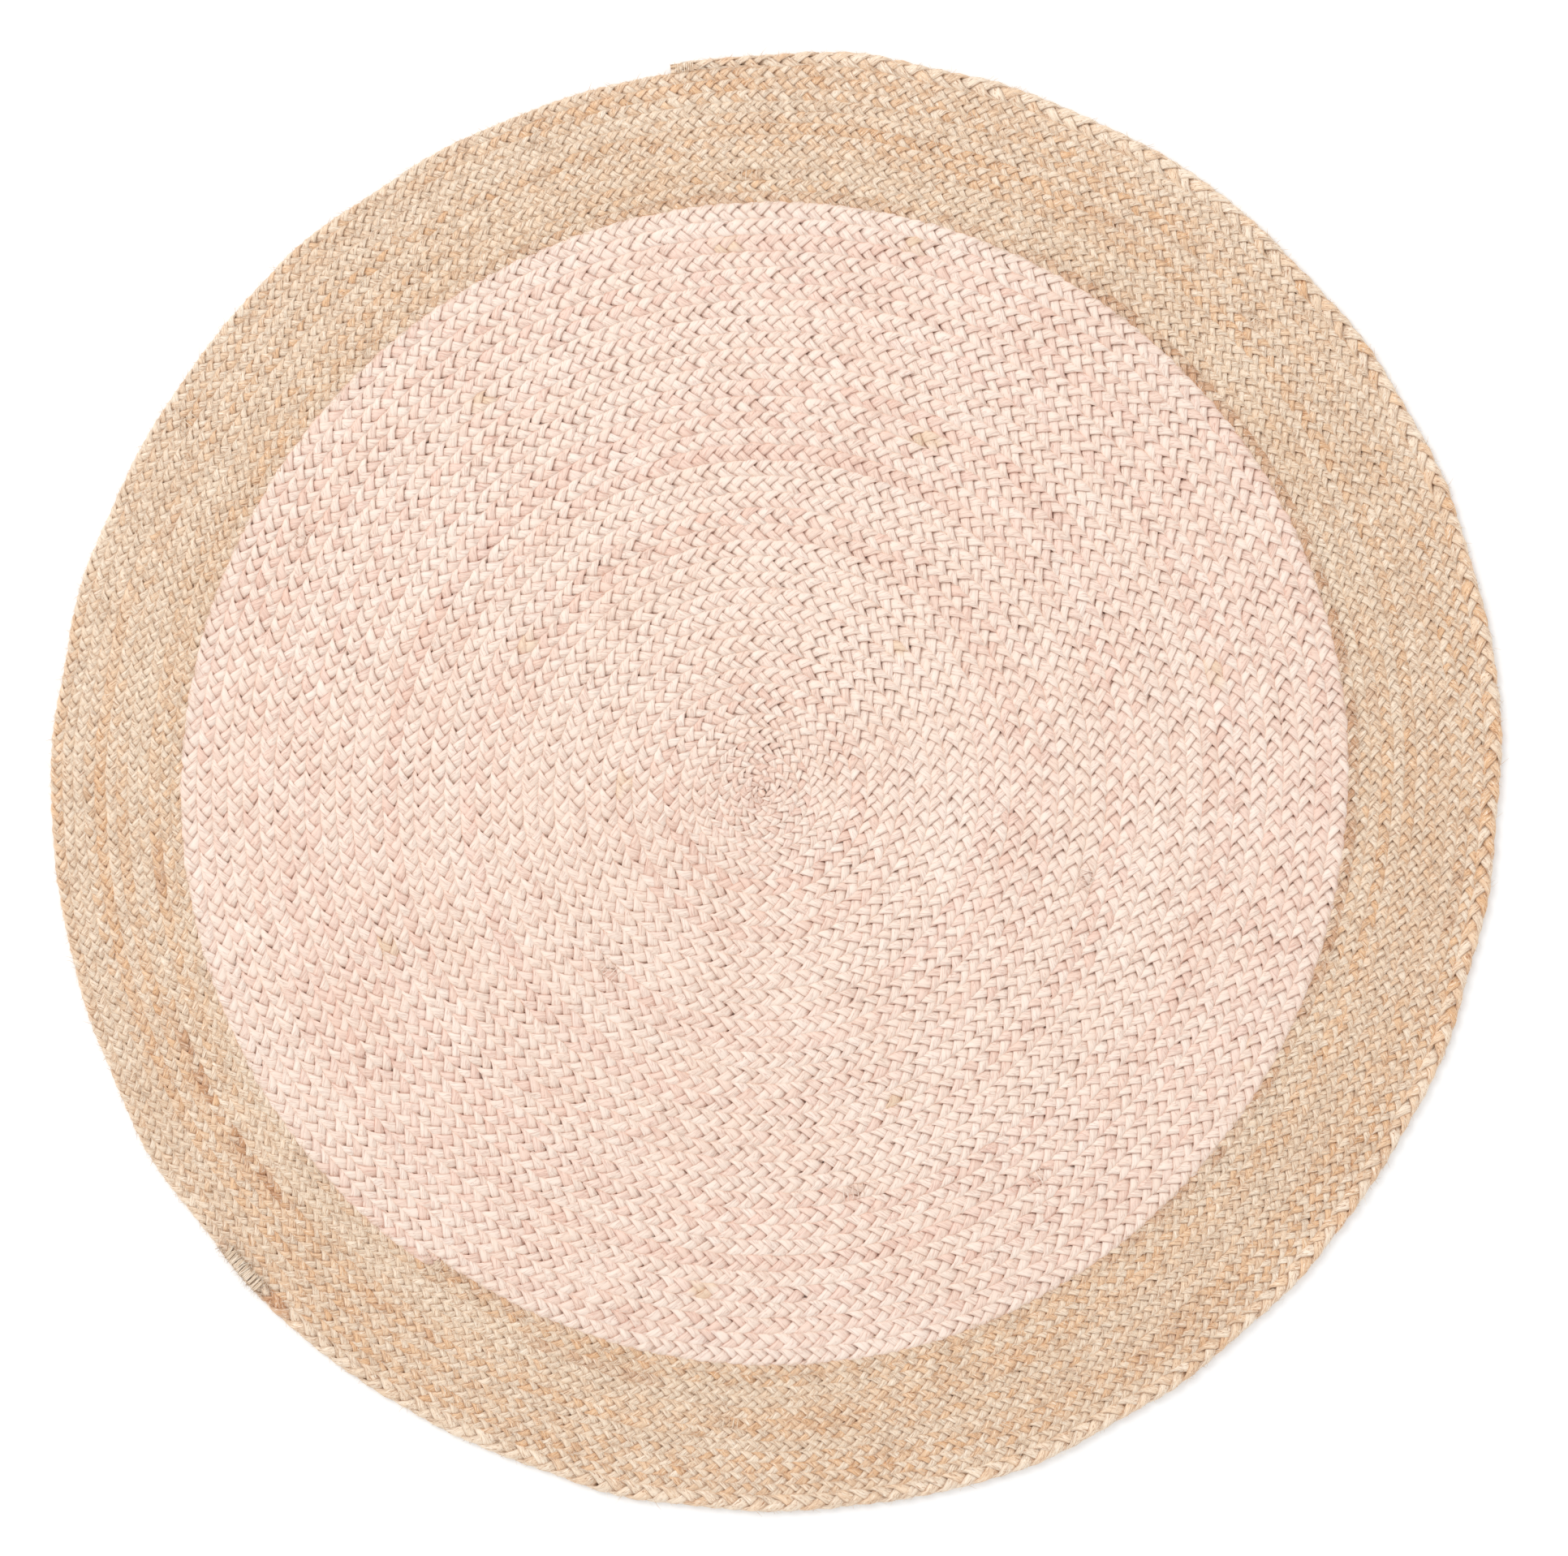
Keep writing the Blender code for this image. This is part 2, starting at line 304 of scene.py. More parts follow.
    def _fuzzy_colour(
        self, tree: bpy.types.NodeTree, fuzz: bpy.types.NodeSocket, colour: bpy.types.NodeSocket
    ) -> bpy.types.NodeSocket:
        """A colour with the dark and light lines of broken fibre over it."""
        lightest = self.tones[-1][1]
        for (low, high), line, blend in (
            (self.fuzz_dark, self.crease, "MULTIPLY"), (self.fuzz_light, lightest, "MIX"),
        ):
            share = add_node(
                tree, "ShaderNodeMapRange", {1: low, 2: high, 3: 0.0, 4: self.fuzz_share}, {0: fuzz},
            )
            lined = add_node(
                tree, "ShaderNodeMix", {7: linear(line)}, {0: share.outputs["Result"], 6: colour},
                data_type="RGBA", blend_type=blend,
            )
            colour = lined.outputs[2]
        return colour

    def _painted_shade_colour(
        self, tree: bpy.types.NodeTree, crease: bpy.types.NodeSocket, colour: bpy.types.NodeSocket
    ) -> bpy.types.NodeSocket:
        """A colour with the shade beside the strand and in its creases, darker than the light makes it."""
        side = add_node(tree, "ShaderNodeAttribute", attribute_name="side")
        beside = add_node(
            tree, "ShaderNodeMath", {1: self.side_shade_falloff}, {0: side.outputs["Fac"]}, operation="POWER",
            use_clamp=True,
        )
        beside_share, crease_shade_share = (
            add_node(tree, "ShaderNodeMath", {1: share}, {0: mark}, operation="MULTIPLY").outputs["Value"]
            for share, mark in ((self.side_shade_share, beside.outputs["Value"]), (self.crease_shade_share, crease))
        )
        dark = add_node(tree, "ShaderNodeMath", links={0: beside_share, 1: crease_shade_share}, operation="MAXIMUM")
        lined = add_node(
            tree, "ShaderNodeMix", {7: linear(self.crease)}, {0: dark.outputs["Value"], 6: colour},
            data_type="RGBA", blend_type="MULTIPLY",
        )
        return lined.outputs[2]


@dataclass(frozen=True)
class SpunThread:
    """Two-ply cotton or jute sewing thread: matt, with the slant of its plies along it."""

    name: str
    light: str
    dark: str
    # Sets the slanted marks about 3.5 mm apart.
    wave_scale: float = 104.17
    relief_height: float = 0.2 * MM
    dull_spread: float = 0.15
    smoothest: float = 0.7

    def material(self) -> bpy.types.Material:
        """Build the node material.

        Returns:
            The finished material, which reads Object coordinates.
        """
        material, tree, shader = blank_material(self.name)
        place = add_node(tree, "ShaderNodeTexCoord")
        plies = add_node(
            tree, "ShaderNodeTexWave",
            {"Scale": self.wave_scale, "Distortion": 2.0, "Detail": 2.0, "Detail Scale": 3.0},
            {"Vector": place.outputs["Object"]}, bands_direction="DIAGONAL",
        )
        colours = add_ramp(tree, plies.outputs["Fac"], ((0.0, self.dark), (1.0, self.light)))
        tree.links.new(colours.outputs["Color"], shader.inputs["Base Color"])
        dull = add_node(
            tree, "ShaderNodeMath", {1: self.dull_spread, 2: self.smoothest}, {0: plies.outputs["Fac"]},
            operation="MULTIPLY_ADD",
        )
        tree.links.new(dull.outputs["Value"], shader.inputs["Roughness"])
        bump = add_node(
            tree, "ShaderNodeBump", {"Strength": 0.5, "Distance": self.relief_height},
            {"Height": plies.outputs["Fac"]},
        )
        tree.links.new(bump.outputs["Normal"], shader.inputs["Normal"])
        shader.inputs["Sheen Weight"].default_value = 0.2
        return material


@dataclass(frozen=True)
class PaintedFloor:
    """A smooth studio floor, painted matt white."""

    name: str = "painted_floor"
    colour: str = "fafafa"

    def material(self) -> bpy.types.Material:
        """Build the floor's plain material."""
        material, _, shader = blank_material(self.name)
        shader.inputs["Base Color"].default_value = linear(self.colour)
        shader.inputs["Roughness"].default_value = 0.9
        return material


# Each crease colour is the colour of the painted shade beside the strands and in their creases.
BLUSH_JUTE = PlaitedJute(
    name="blush_dyed_jute",
    tones=((0.0, "e6c4b0"), (0.3, "f0d6c4"), (0.55, "f6e2d3"), (0.8, "faeade"), (1.0, "fef3e8")),
    bare="ebcfb3", tint="f8e8e4", tint_share=0.8, roughness=0.55, sheen_tint="fff2e8", crease="c68672",
)
NATURAL_JUTE = PlaitedJute(
    name="natural_jute",
    tones=((0.0, "d0aa86"), (0.3, "e6caac"), (0.55, "f2dcc3"), (0.8, "f9e8d3"), (1.0, "fff5e6")),
    bare="cf9e76", tint="f9dfc2", tint_share=0.9, roughness=0.6, sheen_tint="fff0dc", crease="b07e58",
    fuzz_share=0.75,
)
SEWING_THREAD = SpunThread(name="sewing_thread", light="f8e8d4", dark="dcc0a2")
BLUSH_THREAD = SpunThread(name="blush_thread", light="f6ddcd", dark="dcb7a4")
STRAW_BAST = PlaitedJute(
    name="straw_bast",
    tones=((0.0, "b8977a"), (0.3, "d9bfa3"), (0.55, "ead5bd"), (0.8, "f4e5d2"), (1.0, "fbf2e4")),
    bare="c8946a", tint="f8e2c8", tint_share=0.5, roughness=0.55, sheen_tint="fff6e6", crease="a98f6c",
)
# Loose fibres are too fine for the relief between bundles, and take little of the painted shade in its creases.
LOOSE_BLUSH = replace(BLUSH_JUTE, name="loose_blush_fibre", relief=0.05, crease_shade_share=0.1)
LOOSE_JUTE = replace(NATURAL_JUTE, name="loose_jute_fibre", relief=0.05, crease_shade_share=0.1)
LOOSE_STRAW = replace(STRAW_BAST, name="loose_straw_fibre", relief=0.05, crease_shade_share=0.1)


class Fibre(Enum):
    """What a plait is made of, with the key of its finish for each."""

    BLUSH = "blush_jute"
    NATURAL = "natural_jute"


def blend(low: float, high: float, share: float) -> float:
    """The value a clamped share of the way from low to high."""
    return low + (high - low) * min(max(share, 0.0), 1.0)


@dataclass(frozen=True)
class Patch:
    """A run of one row where the strands are of other fibre: undyed in the field, barky in the border."""

    angle: float
    radius: float
    length: float
    strength: float = 1.0


@dataclass
class Coil:
    """The course of the coiled plait, the same as the CAD model's, as true arcs between its stations."""

    field_diameter: float = 0.9640
    border_width: float = 0.1192
    start_width: float = 0.0066
    start_thickness: float = 0.0060
    field_width: float = 0.0117
    field_thickness: float = 0.0080
    border_plait_width: float = 0.0078
    border_thickness: float = 0.0070
    edge_width: float = 0.0110
    edge_thickness: float = 0.0080
    eye_radius: float = 0.0024
    start_tip_width: float = 0.0024
    start_zone: float = 0.0800
    tail_tip_width: float = 0.0052
    tail_taper: float = 0.2000
    seam: float = 0.0014
    edge_turn: float = 0.652
    field_end_angle: float = math.radians(235.0)
    eye_offset: tuple[float, float] = (-0.0105, -0.0085)
    rim_waves: tuple[tuple[int, float, float], ...] = (
        (2, 0.0037, math.radians(54.0)),
        (3, 0.0020, math.radians(45.0)),
        (4, 0.0009, math.radians(16.0)),
    )
    # Small bumps of the outer rows, which the hand sewing leaves.
    bumps: tuple[tuple[int, float, float], ...] = (
        (9, 0.0006, math.radians(13.0)),
        (14, 0.0006, math.radians(5.0)),
        (23, 0.0007, math.radians(7.0)),
        (31, 0.0006, math.radians(2.0)),
    )
    per_turn: int = 32
    steps_per_station: int = 32
    # How far three strands take to come round to the same place, in each plait and at the eye.
    eye_period: float = 0.0210
    field_period: float = 0.0375
    full_period_radius: float = 0.1000
    border_period: float = 0.0294
    edge_period: float = 0.0480

    def __post_init__(self) -> None:
        """March the stations and measure along them."""
        self.radius = self.field_diameter / 2 + self.border_width
        self._march()
        self.middle = np.zeros(2)
        last_turn = np.arange(len(self.inner) - 2 * self.per_turn, len(self.inner))
        rim = self.lay(self.outer[last_turn], self.angle(last_turn), bumpy=False)
        self.middle = (rim.min(axis=0) + rim.max(axis=0)) / 2
        self._measure()

    def _march(self) -> None:
        """Set each station's inner and outer radius and thickness, turn on turn."""
        inner: list[float] = []
        outer: list[float] = []
        thickness: list[float] = []

        def next_inner() -> float:
            """The radius that the next station starts from."""
            station = len(inner)
            if station < self.per_turn:
                return self.eye_radius + (self.start_tip_width + self.seam) * station / self.per_turn
            return outer[station - self.per_turn] + self.seam

        def add(width: float, thick: float) -> None:
            """Add a station of that width and thickness."""
            radius = next_inner()
            inner.append(radius)
            outer.append(radius + width)
            thickness.append(thick)

        while not outer or outer[-1] < self.field_diameter / 2 + (self.field_width + self.seam) / 2:
            share = next_inner() / self.start_zone
            width = blend(self.start_width, self.field_width, share)
            first_turn = (len(inner) + 1) / self.per_turn
            thick = blend(self.start_thickness, self.field_thickness, share)
            add(blend(self.start_tip_width, width, first_turn), thick)
        self.field_end = len(inner) - 0.5
        mean_last = blend(self.border_plait_width, self.edge_width, self.edge_turn)
        while next_inner() < self.radius - mean_last:
            add(self.border_plait_width, self.border_thickness)
        self.border_end = len(inner) - 0.5
        self.tail_end = self.border_end + self.edge_turn * self.per_turn
        while len(inner) <= self.tail_end + 1:
            left = (self.tail_end - len(inner)) * TURN / self.per_turn * next_inner()
            add(blend(self.tail_tip_width, self.edge_width, left / self.tail_taper), self.edge_thickness)
        self.inner, self.outer, self.thickness = (np.array(x) for x in (inner, outer, thickness))

    def angle(self, station: np.ndarray) -> np.ndarray:
        """The direction of a station from +X, in radians."""
        return self.field_end_angle + (station - self.field_end) * TURN / self.per_turn

    def lay(self, radius: np.ndarray, angle: np.ndarray, bumpy: bool = True) -> np.ndarray:
        """Move points of the even coil to where the uneven rug has them.

        Args:
            radius: Distances from the coil's middle.
            angle: Directions from +X.
            bumpy: Whether the small bumps, which the CAD model leaves out, are there.

        Returns:
            X and Y of each point.
        """
        share = (radius / self.radius) ** 2
        out = radius + share * sum(size * np.cos(n * (angle - high)) for n, size, high in self.rim_waves)
        if bumpy:
            out = out + share ** 4 * sum(size * np.cos(n * (angle - high)) for n, size, high in self.bumps)
        spot = np.stack([out * np.cos(angle), out * np.sin(angle)], axis=-1)
        return spot + np.array(self.eye_offset) * (1 - share)[..., None] - self.middle

    def read(self, values: np.ndarray, station: np.ndarray) -> np.ndarray:
        """A value at stations, whole or not."""
        return np.interp(station, np.arange(len(values)), values)

    def period(self, station: np.ndarray) -> np.ndarray:
        """How long one round of the three strands is at each station."""
        radius = self.read(self.inner, station)
        share = np.clip(radius / self.full_period_radius, 0.0, 1.0)
        inside = self.eye_period + (self.field_period - self.eye_period) * share
        return np.where(
            station < self.field_end, inside,
            np.where(station < self.border_end, self.border_period, self.edge_period),
        )

    def _measure(self) -> None:
        """Tabulate distance along the plait and plaiting phase against station."""
        self.fine = np.arange(0.0, self.tail_end + 0.01, 1.0 / self.steps_per_station)
        radius = self.read((self.inner + self.outer) / 2, self.fine)
        self.middles = self.lay(radius, self.angle(self.fine), bumpy=False)
        steps = np.linalg.norm(np.diff(self.middles, axis=0), axis=1)
        self.distance = np.concatenate([[0.0], np.cumsum(steps)])
        self.phase = np.concatenate([[0.0], np.cumsum(steps * TURN / self.period(self.fine[1:]))])

    def station_near(self, x: float, y: float) -> float:
        """The station whose plait passes nearest to a point."""
        return float(self.fine[np.argmin(((self.middles - np.array([x, y])) ** 2).sum(axis=1))])

    def distance_at(self, patch: Patch) -> float:
        """How far along the plait the middle of a patch is."""
        angle = math.radians(patch.angle)
        station = self.station_near(patch.radius * math.cos(angle), patch.radius * math.sin(angle))
        return float(np.interp(station, self.fine, self.distance))

    def points(self, station: np.ndarray, across: np.ndarray, height: np.ndarray) -> np.ndarray:
        """Place points given along, across and above the plait.

        Args:
            station: Where along the coil.
            across: Distance outwards from the middle of the plait.
            height: Height above the floor.

        Returns:
            The points, as rows of X, Y and Z.
        """
        radius = self.read((self.inner + self.outer) / 2, station) + across
        flat = self.lay(radius, self.angle(station))
        return np.concatenate([flat, height[..., None]], axis=-1)


def wander(rng: np.random.Generator, where: np.ndarray, step: float) -> np.ndarray:
    """A smooth random value along a line, mostly between -1 and 1.

    Args:
        rng: The piece's own random numbers.
        where: Positions along the line.
        step: The distance over which the value changes.

    Returns:
        One value for each position.
    """
    place = (where - where.min()) / step
    knots = rng.uniform(-1.0, 1.0, int(place.max()) + 3)
    low = np.floor(place).astype(int)
    part = place - low
    ease = part * part * (3 - 2 * part)
    return knots[low] * (1 - ease) + knots[low + 1] * ease


@dataclass
class Tubes:
    """Closed tubes gathered into one mesh, with a strand map and marks along them."""

    sides: int
    # The part of a bake cell's height that is left free above and below a tube.
    margin: float = 0.06
    rings: list[np.ndarray] = field(default_factory=list)
    along: list[np.ndarray] = field(default_factory=list)
    girth: list[float] = field(default_factory=list)
    marks: dict[str, list[np.ndarray]] = field(default_factory=dict)

    def add(self, rings: np.ndarray, girth: float, **marks: np.ndarray) -> None:
        """Add one tube.

        Args:
            rings: Its points, shaped (rings, sides, 3), each ring anticlockwise seen from the tube's end.
            girth: How far it is round the tube.
            **marks: One number for each ring or each point, kept as a mesh attribute.
        """
        centres = rings.mean(axis=1)
        steps = np.linalg.norm(np.diff(centres, axis=0), axis=1)
        self.rings.append(rings)
        self.along.append(np.concatenate([[0.0], np.cumsum(steps)]))
        self.girth.append(girth)
        for name, values in marks.items():
            each = values if np.ndim(values) == 2 else values[:, None]
            self.marks.setdefault(name, []).append(np.broadcast_to(each, rings.shape[:2]).ravel())

    def _bake_cells(self) -> tuple[int, int]:
        """How many segments fit a row of the bake map, and how many rows there are, at an even scale."""
        counts = [len(r) - 1 for r in self.rings]
        length = sum(a[-1] for a in self.along)
        wide = max(2, round(math.sqrt(sum(counts) * max(self.girth) / (length / sum(counts)))))
        return wide, -(-sum(counts) // wide)

    def make(self, name: str) -> bpy.types.Object:
        """Make the mesh object.

        Args:
            name: The object's name.

        Returns:
            The object, linked to the scene, smooth and with its maps.
        """
        sides = self.sides
        points = np.concatenate([r.reshape(-1, 3) for r in self.rings])
        wide, rows = self._bake_cells()
        corners: list[np.ndarray] = []
        strand: list[np.ndarray] = []
        bake: list[np.ndarray] = []
        caps: list[np.ndarray] = []
        base, row = 0, 0
        side = np.arange(sides)
        for rings, along, girth in zip(self.rings, self.along, self.girth):
            count = len(rings)
            k = np.arange(count - 1)[:, None]
            here, there = base + k * sides, base + (k + 1) * sides
            nxt = (side + 1) % sides
            quad = np.stack([here + side, here + nxt, there + nxt, there + side], axis=-1)
            corners.append(quad.reshape(-1, 4))
            u0, u1 = (np.broadcast_to(ends[:, None], (count - 1, sides)) for ends in (along[:-1], along[1:]))
            v0 = np.broadcast_to(side * girth / sides, u0.shape)
            v1 = v0 + girth / sides
            strand.append(np.stack([u0, v0, u0, v1, u1, v1, u1, v0], axis=-1).reshape(-1, 8))
            cell, column = (row + k) // wide, (row + k) % wide
            b0, b1 = (np.broadcast_to(edge / wide, u0.shape) for edge in (column, column + 1))
            used = 1 - 2 * self.margin
            c0 = (cell + self.margin + used * side / sides) / rows
            c1 = c0 + used / sides / rows
            bake.append(np.stack([b0, c0, b0, c1, b1, c1, b1, c0], axis=-1).reshape(-1, 8))
            caps += [base + side[::-1], base + (count - 1) * sides + side]
            base += count * sides
            row += count - 1
        quads = np.concatenate(corners)
        ends = np.concatenate(caps)
        mesh = bpy.data.meshes.new(name)
        mesh.vertices.add(len(points))
        mesh.vertices.foreach_set("co", points.astype(np.float32).ravel())
        mesh.loops.add(quads.size + ends.size)
        mesh.loops.foreach_set("vertex_index", np.concatenate([quads.ravel(), ends]).astype(np.int32))
        starts = np.concatenate([np.arange(len(quads)) * 4, quads.size + np.arange(len(caps)) * sides])
        mesh.polygons.add(len(starts))
        mesh.polygons.foreach_set("loop_start", starts.astype(np.int32))
        mesh.update(calc_edges=True)
        mesh.polygons.foreach_set("use_smooth", np.ones(len(starts), bool))
        for map_name, flat in (("Strand", strand), ("OFBake", bake)):
            coords = np.zeros((quads.size + ends.size, 2), np.float32)
            coords[:quads.size] = np.concatenate(flat).reshape(-1, 2)
            if map_name == "OFBake":
                coords[quads.size:] = (0.5 / wide, 0.5 / rows)
            mesh.uv_layers.new(name=map_name).data.foreach_set("uv", coords.ravel())
        for mark, values in self.marks.items():
            spread = np.concatenate(values).astype(np.float32)
            mesh.attributes.new(mark, "FLOAT", "POINT").data.foreach_set("value", spread)
        made = bpy.data.objects.new(name, mesh)
        bpy.context.scene.collection.objects.link(made)
        return made


def sweep(
    centres: np.ndarray, flat: np.ndarray, thick: np.ndarray, wide: np.ndarray, sides: int
) -> np.ndarray:
    """Sweep a rounded section along a line.

    Args:
        centres: The line's points.
        flat: For each point, the direction that the section's flat side faces.
        thick: Half the section's thickness, along flat.
        wide: Half its width.
        sides: How many points the section has.

    Returns:
        Rings of points, shaped (points, sides, 3).
    """
    tangent = np.gradient(centres, axis=0)
    tangent /= np.linalg.norm(tangent, axis=1)[:, None]
    normal = flat - (flat * tangent).sum(axis=1)[:, None] * tangent
    normal /= np.linalg.norm(normal, axis=1)[:, None]
    side = np.cross(tangent, normal)
    turn = TURN * (np.arange(sides) + 0.5) / sides
    return (
        centres[:, None]
        + normal[:, None] * (np.cos(turn) * thick[:, None])[..., None]
        + side[:, None] * (np.sin(turn) * wide[:, None])[..., None]
    )


def squared(wave: np.ndarray, fullness: float) -> np.ndarray:
    """A sine or cosine that keeps its sign and stays nearer to 1 and -1, for a fullness under 1."""
    return np.sign(wave) * np.abs(wave) ** fullness


@dataclass
class Plait:
    """One length of three-strand plait, lying along the coil between two stations.

    Each strand is a soft flat bundle. It folds up and over at one edge of the plait, crosses the top to the
    middle, dives under the strand that comes the other way, and goes out beneath it to fold over at the other
    edge. Each strand's trailing side laps over the strand before it, as shingles do.
    """

    name: str
    coil: Coil
    start: float
    end: float
    seed: int
    patches: tuple[Patch, ...] = ()
    neck: float = 0.14
    neck_length: float = 10.0 * MM
    rounds: int = 12
    sides: int = 8
    # How far along the row a strand goes for each step across it: near 1 it crosses at 45 degrees.
    slant: float = 1.0
    fold_width: float = 0.24
    dive_width: float = 0.48
    early: float = 0.12
    reach: float = 1.14
    lap: float = 0.12
    scallop: float = 0.10
    fatness: float = 0.27
    fullness: float = 0.88
    press: float = 0.27
    # The hand's unevenness, as shares of a strand's size, radians of the round, and distances.
    unevenness: float = 0.22
    swing_unevenness: float = 0.06
    lateness: float = 0.26
    short_lateness: float = 0.10
    sway: float = 0.35 * MM
    lift: float = 0.25 * MM
    girth: float = 18.0 * MM
    tone_spread: float = 0.08
    tone_drift: float = 0.35
    tint_spread: float = 0.3
    tint_drift: float = 0.45
    # How tightly the painted shade keeps to each strand's sides.
    side_shade_power: int = 6

    def _bare(self, rng: np.random.Generator, phase: np.ndarray, distance: np.ndarray) -> np.ndarray:
        """How far each section is of a patch's fibre, from 0 to 1."""
        mottle = np.clip(0.5 + 0.9 * wander(rng, phase, math.pi / 2), 0.0, 1.0)
        bare = np.zeros_like(phase)
        for patch in self.patches:
            away = np.abs(distance - self.coil.distance_at(patch)) / (patch.length / 2)
            bare = np.maximum(bare, patch.strength * np.clip(2.5 * (1 - away), 0.0, 1.0))
        return bare * mottle

    def _crossing(
        self, swing: np.ndarray, half_period: np.ndarray, part: np.ndarray
    ) -> tuple[np.ndarray, np.ndarray]:
        """Where a strand is on its way across the plait.

        Args:
            swing: How far out its middle goes.
            half_period: How long one way across takes, along the row.
            part: Place in the way across, from 0 at one fold to 1 at the other.

        Returns:
            Its place from 1 at the first fold to -1 at the second, and how far round the fold it is, from 0
            at the fold's crest to 1 where the strand lies flat.
        """
        flat = swing * (1 - self.fold_width)
        run = np.clip(2 * flat * self.slant / half_period, 0.2, 0.8)
        edge = (1 - run) / 2
        nearest = np.minimum(part, 1 - part)
        bent = np.clip(nearest / edge, 0.0, 1.0)
        level = np.where(
            nearest < edge, 1 - self.fold_width * (1 - np.cos(bent * math.pi / 2)),
            (1 - self.fold_width) * (0.5 - nearest) / np.maximum(0.5 - edge, 1e-6),
        )
        return np.where(part < 0.5, level, -level), np.sin(bent * math.pi / 2)

    def build(self) -> bpy.types.Object:
        """Model the three strands.

        Returns:
            The plait as one mesh object.
        """
        coil = self.coil
        first, last = (np.interp(s, coil.fine, coil.phase) for s in (self.start, self.end))
        steps = int((last - first) / TURN * self.rounds) + 1
        tubes = Tubes(self.sides)
        turn = TURN * np.arange(self.sides) / self.sides
        beside, above = squared(np.sin(turn), self.fullness), squared(np.cos(turn), self.fullness)
        for strand in range(3):
            rng = np.random.default_rng([self.seed, strand])
            phase = np.linspace(first, last, steps)
            station = np.interp(phase, coil.phase, coil.fine)
            distance = np.interp(station, coil.fine, coil.distance)
            # The bindings squeeze both ends.
            near_end = np.minimum(distance - distance[0], distance[-1] - distance)
            waist = 1 - self.neck * np.exp(-(near_end / self.neck_length) ** 2)
            half = coil.read((coil.outer - coil.inner + coil.seam) / 2, station) * waist
            deep = coil.read(coil.thickness, station) * waist
            third = coil.period(station) / 3
            half_round = 1.5 * third[:, None]
            uneven = 1.0 + self.unevenness * wander(rng, phase, math.pi)
            thick = np.minimum(self.fatness * deep, 0.45 * half) * uneven
            swing = half * (1 + self.press) - thick
            swing = (swing * (1.0 + self.swing_unevenness * wander(rng, phase, math.pi)))[:, None]
            late = self.lateness * wander(rng, phase, math.pi)
            late = late + self.short_lateness * wander(rng, phase, 0.4 * math.pi)
            reach = 0.5 * third * self.reach * (1.0 + self.unevenness * wander(rng, phase, math.pi))
            sway = self.sway * wander(rng, phase, math.pi)
            lift = self.lift * wander(rng, phase, math.pi)
            # Each point of a section has its own place in the way across, which turns sections square to the
            # strand.
            slip = reach[:, None] * beside
            here = (phase + late + TURN * strand / 3)[:, None] / math.pi
            part = here % 1.0
            square = np.sin(math.pi * part) ** 2
            ahead = -square * slip / (2 * half_round)
            sign = np.where(np.floor(here) % 2 == 0, 1.0, -1.0)
            level, bent = self._crossing(swing, half_round, np.clip(part + ahead, 0.0, 1.0))
            scallop = 1 - self.scallop * beside ** 2 * (1 - square)
            across = swing * scallop * sign * level + sway[:, None]
            # A strand is on top until it meets the trailing edge of the one that crosses it, and then under it.
            before = (level - self.early) * swing - slip / (2 * self.slant)
            dive = np.clip(before / (self.dive_width * swing), -1.0, 1.0)
            top = 0.5 * dive * (3 - dive * dive) * bent
            height = deep[:, None] / 2 + (deep / 2 - thick)[:, None] * top + lift[:, None] - self.lap * slip
            run = np.gradient(across, axis=0), np.gradient(height, axis=0)
            size = np.hypot(*run) + 1e-9
            # At the crest of a fold the strand's face turns from the top of the plait to its edge.
            out, up = (np.median(x, axis=1, keepdims=True) for x in (run[1] / size, -run[0] / size))
            along = distance[:, None] + slip + half_round * ahead
            there = np.interp(np.clip(along, 0.0, coil.distance[-1]), coil.distance, coil.fine)
            push = thick[:, None] * above
            rings = coil.points(there, across + out * push, height + up * push)
            rings[..., 2] = np.maximum(rings[..., 2], 0.0)
            tubes.add(
                rings, self.girth,
                tone=0.5 + self.tone_spread * (
                    wander(rng, phase, math.pi) + wander(rng, distance, self.tone_drift)
                ),
                tint=np.clip(
                    wander(rng, distance, self.tint_drift) + self.tint_spread * wander(rng, phase, math.pi),
                    0.0, 1.0,
                ),
                bare=self._bare(rng, phase, distance),
                # Where the material paints shade into the colour: along the strand's sides.
                side=np.broadcast_to(np.abs(beside) ** self.side_shade_power, (steps, self.sides)),
            )
        return tubes.make(self.name)


@dataclass(frozen=True)
class Winding:
    """How a join is bound: how far, in how many turns, with what thread, and how loosely."""

    length: float
    turns: float
    thread_width: float
    thread_thickness: float
    stray: float
    lift: float
    spread: float = 1.0


STRAW_WINDING = Winding(40.0 * MM, 54.0, 1.1 * MM, 0.8 * MM, stray=1.8 * MM, lift=0.6 * MM, spread=1.12)
TAIL_WINDING = Winding(16.0 * MM, 9.0, 0.8 * MM, 0.7 * MM, stray=0.5 * MM, lift=0.2 * MM)
JOIN_WINDING = Winding(20.0 * MM, 5.0, 0.7 * MM, 0.55 * MM, stray=0.8 * MM, lift=0.2 * MM)


